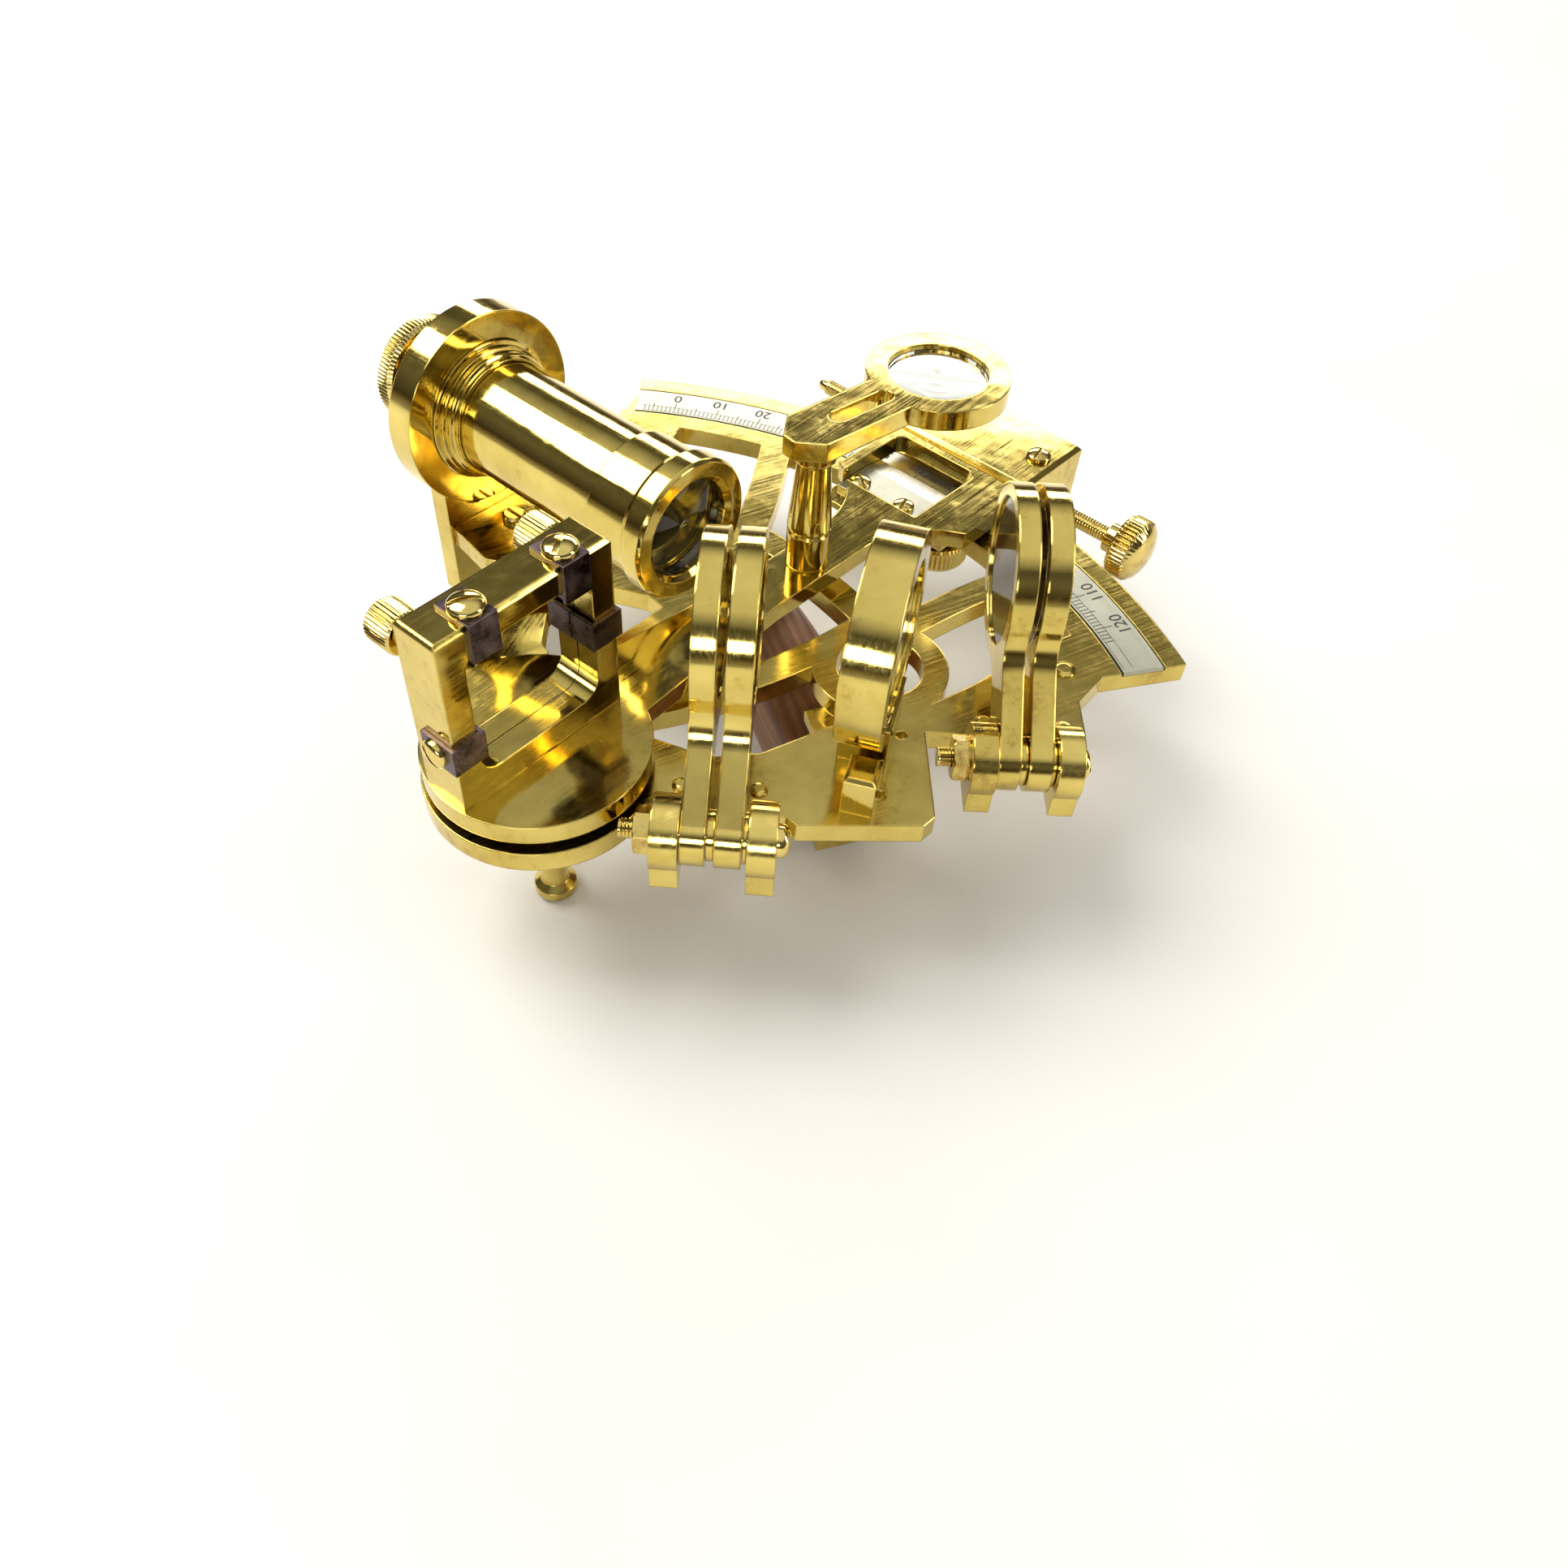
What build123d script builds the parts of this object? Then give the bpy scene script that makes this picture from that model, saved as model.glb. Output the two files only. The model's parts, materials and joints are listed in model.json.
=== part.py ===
"""Nautical sextant: frame, index arm, mirrors, shades, telescope and magnifier.

Millimetres, +Z up. The origin is the index arm's pivot axis at the plane of
the three feet. The pale scale runs round the far side of the limb.
"""
from build123d import *
import math
import os

os.makedirs("parts", exist_ok=True)

# ---- heights ----
LEG_H = 25.6
PLATE_T = 3.4
DECK_Z = LEG_H + PLATE_T
ARM_Z = DECK_Z + 1.9
ARM_T = 3.2
ARM_TOP = ARM_Z + ARM_T
SIGHT_Z = DECK_Z + 19.0

# ---- limb ----
LIMB_R_OUT = 102.0
LIMB_R_IN = 87.0
LIMB_A0 = 12.6
LIMB_A1 = 83.8
GROOVE_R_IN = 90.8
GROOVE_R_OUT = 98.4
GROOVE_D = 0.6
STRIP_GAP = 0.35

# ---- frame plate ----
APEX_R = 16.6
HUB = (50.5, 21.0)
HUB_R = 10.8
HUB_HOLE_R = 6.8
WALL_GAP = 0.1

# ---- pivot ----
AXLE_R = 3.0
RUNNING = 0.05
CUP_R = 9.5
CUP_HOLE_R = 7.2

# ---- index arm ----
ARM_ANGLE = 45.5
ARM_DISC_R = 16.2
WINDOW = (78.3, 96.0, -5.2, 12.0)
ARM_END = 98.0
ARM_HALF = 14.0
POST_U = 56.5
POST_R = 3.5

# ---- tangent and clamp screws ----
BOX_END = 116.0
TANGENT_U = 106.0
TANGENT_Z = DECK_Z - 1.0
CLAMP_U = 95.0

# ---- index mirror ----
MIRROR_ANGLE = 47.7
MIRROR_W = 28.8
MIRROR_H = 28.9
MIRROR_Y0 = -2.9
MIRROR_Y1 = 4.5
MIRROR_X = -1.0
OPENING = 21.0

# ---- horizon glass ----
HORIZON = (47.6, 6.6)
HORIZON_ANGLE = 163.0
HORIZON_R = 15.5
HORIZON_BAND = 6.5

# ---- shades ----
BOLT_Z = DECK_Z + 1.5
BOLT_R = 1.5
SHADE_LUG_R = 4.4
STACK = (0.0, 3.9, 4.05, 7.4, 7.5, 8.6, 8.7, 12.3, 12.4, 13.0, 13.1, 17.0)

# ---- telescope, measured back along its axis from the front rim ----
SCOPE_FRONT = (21.3, 29.2, SIGHT_Z)
SCOPE_ANGLE = -43.2
TUBE_R = 9.3

# ---- magnifier ----
LENS_ANGLE = 38.4
LENS_REACH = 25.4
LENS_Z = DECK_Z + 26.9
LENS_R = 11.5


def heading(angle):
    """Unit vector in the plan at an angle from +X."""
    return Vector(math.cos(math.radians(angle)), math.sin(math.radians(angle)), 0)


def upright(x, y, z, angle=0.0):
    """Horizontal plane at a height with its x axis turned by an angle."""
    return Plane(origin=(x, y, z), x_dir=heading(angle), z_dir=(0, 0, 1))


def along(x, y, z, angle):
    """Plane whose normal is horizontal at an angle, with its y axis upright."""
    return Plane(origin=(x, y, z), x_dir=heading(angle - 90) * -1, z_dir=heading(angle))


def shifted(plane, x=0.0, y=0.0, z=0.0):
    """The same plane with its origin moved in its own coordinates."""
    origin = plane.from_local_coords(Vector(x, y, z))
    return Plane(origin=origin, x_dir=plane.x_dir, z_dir=plane.z_dir)


def turn(plane, profile, mode=Mode.ADD):
    """Revolve (radius, height) points about the normal of a plane."""
    section = Plane(origin=plane.origin, x_dir=plane.x_dir, z_dir=plane.y_dir * -1)
    with BuildSketch(section) as outline:
        with BuildLine():
            Polyline(*profile, close=True)
        make_face()
    revolve(outline.sketch, axis=Axis(plane.origin, plane.z_dir), mode=mode)


def ring(plane, inner, outer, height, mode=Mode.ADD):
    """Flat ring that stands on a plane."""
    turn(plane, [(inner, 0), (outer, 0), (outer, height), (inner, height)], mode)


def disc(plane, radius, height, mode=Mode.ADD):
    """Round slab that stands on a plane."""
    turn(plane, [(0, 0), (radius, 0), (radius, height), (0, height)], mode)


def prism(plane, points, height, mode=Mode.ADD):
    """Straight-sided slab on a plane, from the points of its outline."""
    with BuildSketch(plane) as outline:
        with BuildLine():
            Polyline(*points, close=True)
        make_face()
    extrude(outline.sketch, amount=height, mode=mode)


def block(plane, x0, x1, y0, y1, height, mode=Mode.ADD):
    """Rectangular slab on a plane."""
    prism(plane, [(x0, y0), (x1, y0), (x1, y1), (x0, y1)], height, mode)


def rivet(plane, radius, height):
    """Low round head."""
    turn(plane, [(0, 0), (radius, 0), (radius, height * 0.4), (radius * 0.6, height), (0, height)])


def slotted(plane, radius, height, slot=0.7, shank=0.0, shank_r=1.0):
    """Slotted screw: head above the plane, shank below it."""
    edge = min(0.4, height * 0.4)
    rim = [(radius, 0), (radius, height - edge), (radius - edge, height), (0, height)]
    stem = [(0, -shank), (shank_r, -shank), (shank_r, 0)] if shank else [(0, 0)]
    turn(plane, stem + rim)
    cut = shifted(plane, z=height - 0.45 * height)
    block(cut, -radius - 0.5, radius + 0.5, -slot / 2, slot / 2, height, Mode.SUBTRACT)


ARM = upright(0, 0, 0, ARM_ANGLE)
MIRROR = upright(0, 0, ARM_TOP, MIRROR_ANGLE)
SCOPE = along(*SCOPE_FRONT, SCOPE_ANGLE + 180)
GLASS = along(*HORIZON, SIGHT_Z, HORIZON_ANGLE)
CLAMP = shifted(ARM, x=CLAMP_U)


# ---- frame ----
STRUTS = [
    (5.0, [(14, 12), (33, 19.5), (48, 30)]),
    (5.2, [(7, 21), (17.5, 31.5), (33, 54)]),
    (5.6, [(37.5, 88), (35.5, 75), (33.5, 65), (30.5, 54)]),
    (5.0, [(50, 31), (43, 41.5), (31.5, 54)]),
    (5.0, [(55, 30), (68, 39), (79, 45)]),
]
FRONT_PLATE = [
    (8, -7.0), (34.6, -9.8), (36, -11.3), (53.8, -11.3), (55.6, -9.6), (56, 6.9), (78.5, 4.9),
    (80.2, 6.0), (80.6, 13.6), (85.2, 18.9), (88, 26), (84, 30), (76, 25.5), (64.5, 17),
    (58, 13), (50, 11), (44, 9), (31.5, 2.4), (24, 1.5), (14, 6),
]
WING = [
    (10, 96), (4, 82), (-3, 73), (-7.3, 66.4), (-19.2, 53.6), (-13, 45.5), (0, 41.5), (14, 37),
    (20, 30),
    (25, 40), (14, 46.5), (4, 54), (3, 62), (10, 70), (16, 77), (19, 87),
]

with BuildPart() as frame:
    with BuildSketch(Plane.XY.offset(LEG_H)):
        with BuildLine():
            rim = CenterArc((0, 0), LIMB_R_OUT, LIMB_A0, LIMB_A1 - LIMB_A0)
            inner_rim = CenterArc((0, 0), LIMB_R_IN, LIMB_A0, LIMB_A1 - LIMB_A0)
            Line(rim @ 0, inner_rim @ 0)
            Line(rim @ 1, inner_rim @ 1)
        make_face()
        Circle(APEX_R)
        for outline in (FRONT_PLATE, WING):
            with BuildLine():
                Polyline(*outline, close=True)
            make_face()
        for width, route in STRUTS:
            with BuildLine():
                Spline(*route)
            trace(line_width=width)
        with Locations(HUB):
            Circle(HUB_R)
            Circle(HUB_HOLE_R, mode=Mode.SUBTRACT)
    extrude(amount=PLATE_T)
    ring(upright(0, 0, DECK_Z - GROOVE_D), GROOVE_R_IN, GROOVE_R_OUT, GROOVE_D, Mode.SUBTRACT)
    disc(upright(0, 0, DECK_Z), 8.0, 1.75)
    disc(upright(0, 0, LEG_H - 1), AXLE_R + RUNNING, 8, Mode.SUBTRACT)
    for x, y in ((52.4, 6.2), (48.2, -5.6)):
        disc(upright(x, y, LEG_H - 1), 0.8, 8, Mode.SUBTRACT)

with BuildPart() as scale_strip:
    with BuildSketch(Plane.XY.offset(DECK_Z - GROOVE_D)):
        with BuildLine():
            far = CenterArc((0, 0), GROOVE_R_OUT - STRIP_GAP, LIMB_A0, LIMB_A1 - LIMB_A0)
            near = CenterArc((0, 0), GROOVE_R_IN + STRIP_GAP, LIMB_A0, LIMB_A1 - LIMB_A0)
            Line(far @ 0, near @ 0)
            Line(far @ 1, near @ 1)
        make_face()
    extrude(amount=GROOVE_D + 0.05)

# ---- feet ----
LEG_PROFILE = [
    (0, 0), (3.3, 0), (3.6, 0.5), (3.6, 2.2), (2.6, 3.2), (2.2, 6), (2.2, 19), (2.6, 22),
    (3.6, 23.4), (3.6, LEG_H), (0, LEG_H),
]
LEG_LEFT = (14.0, 79.0)
LEG_RIGHT = (84.2, 34.4)
RIVET_RIGHT = (79.5, 20.6)

with BuildPart() as leg_left:
    turn(upright(*LEG_LEFT, 0), LEG_PROFILE)

with BuildPart() as leg_right:
    turn(upright(*LEG_RIGHT, 0), LEG_PROFILE)

with BuildPart() as pivot_cup:
    turn(upright(0, 0, 0), [
        (0, 0), (3.0, 0), (3.3, 0.5), (3.3, 2.0), (2.2, 3.0), (2.2, 13.5), (4.0, 15),
        (CUP_R, 17.5), (CUP_R, LEG_H), (CUP_HOLE_R, LEG_H), (CUP_HOLE_R, 18.4), (0, 18.4),
    ])

# ---- handle ----
GRIP_A = Vector(46.2, 5.5, 0)
GRIP_B = Vector(32.6, 54.8, 0)
GRIP_MID = (GRIP_A + GRIP_B) * 0.5
GRIP_LEN = (GRIP_B - GRIP_A).length
GRIP_ANGLE = math.degrees(math.atan2(GRIP_B.Y - GRIP_A.Y, GRIP_B.X - GRIP_A.X))
GRIP_Z = 3.0
GRIP_H = 15.0
POST_T = 3.6
GRIP = upright(GRIP_MID.X, GRIP_MID.Y, 0, GRIP_ANGLE)
GRIP_END = GRIP_LEN / 2 - POST_T

with BuildPart() as handle:
    with BuildSketch(shifted(GRIP, z=GRIP_Z)):
        with BuildLine():
            side = ThreePointArc((-GRIP_END, -5.4), (0, -7.6), (GRIP_END, -5.4))
            other = ThreePointArc((-GRIP_END, 5.4), (0, 7.6), (GRIP_END, 5.4))
            Line(side @ 0, other @ 0)
            Line(side @ 1, other @ 1)
        make_face()
    extrude(amount=GRIP_H)
    fillet(handle.edges().group_by(Axis.Z)[0] + handle.edges().group_by(Axis.Z)[-1], 3.2)


def handle_bracket(end):
    """Upright end plate of the handle with a flange under the frame."""
    inner = end * GRIP_END
    outer = end * (GRIP_END + POST_T)
    low, high = min(inner, outer), max(inner, outer)
    block(shifted(GRIP, z=GRIP_Z + 1), low, high, -5, 5, LEG_H - GRIP_Z - 1)
    reach = inner - end * 7
    block(shifted(GRIP, z=LEG_H - 2), min(reach, outer), max(reach, outer), -5, 5, 2)


with BuildPart() as handle_brackets:
    handle_bracket(-1)
    handle_bracket(1)

with BuildPart() as handle_screws:
    for end in (-1, 1):
        spot = shifted(GRIP, x=end * (GRIP_END + POST_T), z=GRIP_Z + GRIP_H / 2)
        face = Plane(origin=spot.origin, x_dir=(0, 0, 1), z_dir=spot.x_dir * end)
        slotted(face, 2.6, 1.4)

# ---- telescope ----
RING_T0 = 44.9
RING_T1 = 49.9
STEM_T = 3.6
RING_R = 16.0
SLEEVE_R = 11.5
STEM_FOOT = -33.0
BASE = Plane(origin=(SCOPE_FRONT[0], SCOPE_FRONT[1], DECK_Z), x_dir=heading(SCOPE_ANGLE + 180),
             z_dir=(0, 0, 1))

with BuildPart() as telescope_bracket:
    disc(shifted(SCOPE, z=RING_T0), RING_R, RING_T1 - RING_T0)
    prism(shifted(SCOPE, z=RING_T1 - STEM_T), [
        (10.5, -8), (10.5, STEM_FOOT), (3.8, STEM_FOOT), (3.8, -28), (-9, -13), (-9, -8),
    ], STEM_T)
    block(shifted(BASE, z=-PLATE_T - 4), 38, RING_T1 - 1, -9, 3, 4)
    disc(shifted(SCOPE, z=RING_T0 - 1), SLEEVE_R + WALL_GAP, 9, Mode.SUBTRACT)

with BuildPart() as bracket_screws:
    for side in (-6.0, 1.0):
        slotted(shifted(BASE, x=41.0, y=side), 2.0, 1.2)

SLEEVE = [
    (TUBE_R + WALL_GAP, 41.0), (9.9, 41.0), (9.9, 42.0), (10.4, 42.2), (10.4, 42.9), (10.1, 43.1),
    (10.9, 43.3), (10.9, 44.0), (10.5, 44.2), (SLEEVE_R, 44.5), (SLEEVE_R, 50.3),
    (TUBE_R + WALL_GAP, 50.3),
]

with BuildPart() as telescope_sleeve:
    turn(SCOPE, SLEEVE)

with BuildPart() as telescope_tube:
    ring(shifted(SCOPE, z=6.6), TUBE_R - 1.0, TUBE_R, 43.7)

with BuildPart() as objective_cell:
    turn(SCOPE, [
        (7.75, 0.8), (8.6, 0), (10.8, 0), (11.2, 0.5), (11.2, 3.5), (10.3, 4.6), (10.3, 12),
        (TUBE_R + WALL_GAP, 12), (TUBE_R + WALL_GAP, 6.5), (8.7, 6.5), (8.7, 1.9), (7.75, 1.9),
    ])

with BuildPart() as objective_lens:
    turn(SCOPE, [(0, 1.6), (7.6, 2.0), (8.6, 2.0), (8.6, 5.0), (0, 5.0)])

DRAW_R = 7.42

with BuildPart() as eyepiece_barrel:
    turn(SCOPE, [
        (DRAW_R + 0.08, 50.4), (10.6, 50.4), (10.9, 50.7), (10.9, 53.0), (10.2, 53.8), (8.5, 54.2),
        (8.5, 58.1), (DRAW_R + 0.08, 58.1),
    ])

with BuildPart() as draw_tube:
    ring(shifted(SCOPE, z=43.0), 6.2, DRAW_R, 15.8)

with BuildPart() as eyepiece_ring:
    turn(SCOPE, [
        (6.2, 58.8), (8.8, 58.8), (9.4, 59.3), (9.4, 61.8), (8.8, 62.4), (6.4, 62.4), (5.0, 61.7),
        (5.0, 61.2), (6.2, 61.2),
    ])

with BuildPart() as eye_lens:
    disc(shifted(SCOPE, z=59.1), 6.1, 2.0)

# ---- horizon glass ----
with BuildPart() as horizon_ring:
    ring(shifted(GLASS, z=-HORIZON_BAND / 2), 12.4, HORIZON_R, HORIZON_BAND)
    ring(shifted(GLASS, z=-HORIZON_BAND / 2), 11.4, 13.0, 1.0)
    block(upright(*HORIZON, DECK_Z, HORIZON_ANGLE), -3.65, 3.65, -6, 6, 7)
    disc(shifted(GLASS, z=-HORIZON_BAND / 2 + 1), 12.4, HORIZON_BAND, Mode.SUBTRACT)

with BuildPart() as horizon_glass:
    disc(shifted(GLASS, z=-HORIZON_BAND / 2 + 1), 12.3, 2.2)

BLOCK_AT = upright(45.3, -6.0, DECK_Z, 73.0)

with BuildPart() as horizon_block:
    block(BLOCK_AT, -3.2, 2.4, -2.3, 2.3, 6.5)
    chamfer(horizon_block.edges().group_by(Axis.Z)[-1], 0.6)


# ---- shades ----
class Hinge:
    """Places of one shade set: its bolt line and the leaning plane of its frames."""

    def __init__(self, x, y, angle, lean, scale, reach, radius):
        bolt = heading(angle)
        back = heading(angle + 90)
        lean = math.radians(lean)
        stem = back * math.sin(lean) + Vector(0, 0, math.cos(lean))
        self.upright = Plane(origin=(x, y, BOLT_Z), x_dir=back, z_dir=bolt)
        self.leaning = Plane(origin=(x, y, BOLT_Z), x_dir=stem, z_dir=bolt)
        self.stack = [place * scale for place in STACK]
        self.reach = reach
        self.radius = radius


def shade_bracket(hinge):
    """Two round lugs joined by a flange under the deck."""
    base = LEG_H - BOLT_Z
    stack = hinge.stack
    for start, end in ((stack[0], stack[1]), (stack[10], stack[11])):
        foot = shifted(hinge.upright, z=start)
        disc(foot, 5.3, end - start)
        block(foot, -4.6, 5.2, base - 1.6, 0, end - start)
        block(foot, -4.6, 13.0, base - 1.6, base, end - start)
    block(hinge.upright, 5.4, 13.0, base - 1.6, base, stack[11])
    disc(shifted(hinge.upright, z=-1), BOLT_R, 20, Mode.SUBTRACT)


def shade_frame(hinge, start, end):
    """Glass ring on a short stem with the bolt hole at its root."""
    with BuildSketch(shifted(hinge.leaning, z=start)) as outline:
        Circle(SHADE_LUG_R)
        with BuildLine():
            Polyline((0, -4.3), (17, -3.9), (17, 3.9), (0, 4.3), close=True)
        make_face()
        with Locations((hinge.reach, 0)):
            Circle(hinge.radius)
            Circle(hinge.radius - 3.2, mode=Mode.SUBTRACT)
        fillet(outline.vertices().filter_by(lambda v: v.X > 10 and 3 < abs(v.Y) < 4.5), 6.0)
        Circle(BOLT_R + RUNNING, mode=Mode.SUBTRACT)
    extrude(outline.sketch, amount=end - start)
    recess = shifted(hinge.leaning, x=hinge.reach, z=start - 1)
    disc(recess, hinge.radius - 2.1, 2.8, Mode.SUBTRACT)


def shade_glass(hinge, start):
    """Round dark glass lying against the lip of its frame."""
    disc(shifted(hinge.leaning, x=hinge.reach, z=start + 0.4), hinge.radius - 2.2, 1.4)


def shade_bolt(hinge):
    """Threaded bolt with a slotted head."""
    disc(shifted(hinge.upright, z=-4.6), BOLT_R, 4.6 + hinge.stack[11])
    slotted(shifted(hinge.upright, z=hinge.stack[11]), 2.4, 2.0)


def shade_nut(hinge):
    """Hexagon nut against the first lug."""
    with BuildSketch(shifted(hinge.upright, z=-2.4)) as outline:
        RegularPolygon(2.95, 6, major_radius=False)
        Circle(BOLT_R, mode=Mode.SUBTRACT)
    extrude(outline.sketch, amount=2.4)


def shade_spacers(hinge):
    """Washers between the frames and beside the second lug."""
    stack = hinge.stack
    ring(shifted(hinge.upright, z=stack[4]), BOLT_R, 3.6, stack[5] - stack[4])
    ring(shifted(hinge.upright, z=stack[8]), BOLT_R, 3.6, stack[9] - stack[8])


INDEX_HINGE = Hinge(16.3, -13.4, -6.0, 48.0, 1.0, 28.3, 13.5)
HORIZON_HINGE = Hinge(61.3, 0.3, -3.4, 53.0, 0.94, 27.75, 12.85)

with BuildPart() as index_shade_bracket:
    shade_bracket(INDEX_HINGE)

with BuildPart() as index_shade_frame_1:
    shade_frame(INDEX_HINGE, *INDEX_HINGE.stack[2:4])

with BuildPart() as index_shade_frame_2:
    shade_frame(INDEX_HINGE, *INDEX_HINGE.stack[6:8])

with BuildPart() as index_shade_glass_1:
    shade_glass(INDEX_HINGE, INDEX_HINGE.stack[2])

with BuildPart() as index_shade_glass_2:
    shade_glass(INDEX_HINGE, INDEX_HINGE.stack[6])

with BuildPart() as index_shade_bolt:
    shade_bolt(INDEX_HINGE)

with BuildPart() as index_shade_nut:
    shade_nut(INDEX_HINGE)

with BuildPart() as index_shade_spacers:
    shade_spacers(INDEX_HINGE)

with BuildPart() as horizon_shade_bracket:
    shade_bracket(HORIZON_HINGE)

with BuildPart() as horizon_shade_frame_1:
    shade_frame(HORIZON_HINGE, *HORIZON_HINGE.stack[2:4])

with BuildPart() as horizon_shade_frame_2:
    shade_frame(HORIZON_HINGE, *HORIZON_HINGE.stack[6:8])

with BuildPart() as horizon_shade_glass_1:
    shade_glass(HORIZON_HINGE, HORIZON_HINGE.stack[2])

with BuildPart() as horizon_shade_glass_2:
    shade_glass(HORIZON_HINGE, HORIZON_HINGE.stack[6])

with BuildPart() as horizon_shade_bolt:
    shade_bolt(HORIZON_HINGE)

with BuildPart() as horizon_shade_nut:
    shade_nut(HORIZON_HINGE)

with BuildPart() as horizon_shade_spacers:
    shade_spacers(HORIZON_HINGE)

with BuildPart() as deck_rivets:
    rivet(upright(*RIVET_RIGHT, DECK_Z), 1.8, 0.5)
    for x, y in ((20.0, -4.0), (31.0, -4.9), (65.0, 8.9), (77.0, 7.8)):
        rivet(upright(x, y, DECK_Z), 1.3, 0.6)

# ---- index arm ----
with BuildPart() as index_arm:
    with BuildSketch(shifted(ARM, z=ARM_Z)) as arm_plan:
        Circle(ARM_DISC_R)
        with BuildLine():
            right = Polyline((10, -7), (45, -4.4), (66, -4.4))
            right_flare = ThreePointArc((66, -4.4), (75, -7.2), (81, -ARM_HALF))
            end = Polyline((81, -ARM_HALF), (ARM_END, -ARM_HALF), (ARM_END, ARM_HALF), (81, ARM_HALF))
            left_flare = ThreePointArc((81, ARM_HALF), (75, 7.2), (66, 4.4))
            left = Polyline((66, 4.4), (45, 4.4), (10, 7), (10, -7))
        make_face()
        with BuildLine():
            Polyline((WINDOW[0], WINDOW[2]), (WINDOW[1], WINDOW[2]), (WINDOW[1], WINDOW[3]),
                     (WINDOW[0], WINDOW[3]), close=True)
        make_face(mode=Mode.SUBTRACT)
    extrude(amount=ARM_T)
    far_corners = index_arm.edges().filter_by(Axis.Z).filter_by(
        lambda e: abs(ARM.to_local_coords(e.center()).X - WINDOW[1]) < 0.1)
    fillet(far_corners, 2.0)
    block(shifted(ARM, z=DECK_Z + 0.7), 75.0, 85.0, -8, 12.8, 1.25)
    disc(shifted(ARM, z=DECK_Z), AXLE_R, 8, Mode.SUBTRACT)

VERNIER_END = Plane(origin=shifted(ARM, y=WINDOW[2] + WALL_GAP, z=ARM_Z + 0.05).origin,
                    x_dir=ARM.x_dir, z_dir=ARM.y_dir)

with BuildPart() as vernier_plate:
    with BuildSketch(Plane(origin=VERNIER_END.origin, x_dir=ARM.x_dir, z_dir=ARM.y_dir * -1)):
        with BuildLine():
            Polyline((WINDOW[0] + WALL_GAP, 0), (90.6, 0), (90.6, 0.2), (86.4, 0.9),
                     (WINDOW[0] + WALL_GAP, 0.9), close=True)
        make_face()
    extrude(amount=-(WINDOW[3] - WINDOW[2] - 2 * WALL_GAP))

with BuildPart() as arm_screws:
    for v in (-0.3, 9.4):
        slotted(shifted(ARM, x=81.7, y=v, z=ARM_Z + 0.95), 1.9, 1.0)
    slotted(shifted(ARM, x=107.3, y=-10.3, z=DECK_Z + 6), 2.2, 1.2)

with BuildPart() as tangent_box:
    block(shifted(ARM, z=ARM_Z + 0.1), ARM_END, BOX_END, -ARM_HALF, ARM_HALF, 4.0)
    block(shifted(ARM, z=DECK_Z - 6), 103.4, BOX_END, -ARM_HALF, ARM_HALF, 9)
    block(shifted(ARM, z=DECK_Z - 7), 102, BOX_END - 2.5, -ARM_HALF + 2.6, ARM_HALF - 2.6, 9,
          Mode.SUBTRACT)
    chamfer(tangent_box.edges().group_by(Axis.Z)[-1], 0.7)
    tangent_line = Plane(origin=shifted(ARM, x=TANGENT_U, z=TANGENT_Z).origin,
                         x_dir=(0, 0, 1), z_dir=ARM.y_dir)
    disc(shifted(tangent_line, z=-20), 1.5 + RUNNING, 40, Mode.SUBTRACT)

CLAMP_TOP = LEG_H - 0.1

with BuildPart() as clamp_block:
    block(shifted(ARM, z=CLAMP_TOP - 4.5), 88.5, 109.0, -5, 5, 4.5)
    block(shifted(ARM, z=CLAMP_TOP - 1), 103.6, 109.0, -4, 4, 6)
    disc(shifted(CLAMP, z=CLAMP_TOP - 6), BOLT_R + RUNNING, 8, Mode.SUBTRACT)
    disc(shifted(tangent_line, z=-10), BOLT_R + RUNNING, 20, Mode.SUBTRACT)

with BuildPart() as clamp_screw:
    turn(shifted(CLAMP, z=CLAMP_TOP - 11.6), [
        (0, 0), (5.2, 0), (6, 0.8), (6, 4.4), (5.4, 5.0), (3, 5.0), (3, 7.0), (BOLT_R, 7.0),
        (BOLT_R, 11.4), (0, 11.4),
    ])

with BuildPart() as tangent_screw:
    turn(tangent_line, [
        (0, -36.0), (2.8, -35.8), (4.6, -35.0), (5.7, -34.2), (5.7, -31.0), (5.2, -30.5),
        (2.6, -30.5), (2.6, -28.0), (BOLT_R, -28.0), (BOLT_R, 37.5), (0.9, 38.2), (0.7, 40),
        (0, 40),
    ])

# ---- pivot ----
with BuildPart() as pivot_axle:
    disc(upright(0, 0, LEG_H - 6.4), AXLE_R, ARM_TOP - LEG_H + 6.3)

with BuildPart() as pivot_washer:
    ring(upright(0, 0, LEG_H - 1.1), AXLE_R, 5.0, 1.0)

with BuildPart() as pivot_nut:
    with BuildSketch(upright(0, 0, LEG_H - 4.6)):
        RegularPolygon(4.5, 6, major_radius=False)
        Circle(AXLE_R, mode=Mode.SUBTRACT)
    extrude(amount=3.5)

# ---- index mirror ----
FACE_MID = 14.6
RECESS = 6.2
FACE = Plane(origin=MIRROR.from_local_coords(Vector(MIRROR_X, MIRROR_Y0, FACE_MID)),
             x_dir=MIRROR.x_dir, z_dir=MIRROR.y_dir * -1)
LEFT_SIDE = MIRROR_X - MIRROR_W / 2
RIGHT_SIDE = MIRROR_X + MIRROR_W / 2
ADJUSTER_Z = 24.4
BACK = Plane(origin=MIRROR.from_local_coords(Vector(MIRROR_X, MIRROR_Y1, ADJUSTER_Z)),
             x_dir=MIRROR.x_dir * -1, z_dir=MIRROR.y_dir)
CLIP_T = 0.6
CLIP_W = 4.5
TOP_CLIPS = (-8.2, 6.9)
TONGUE_Z = 23.4

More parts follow.
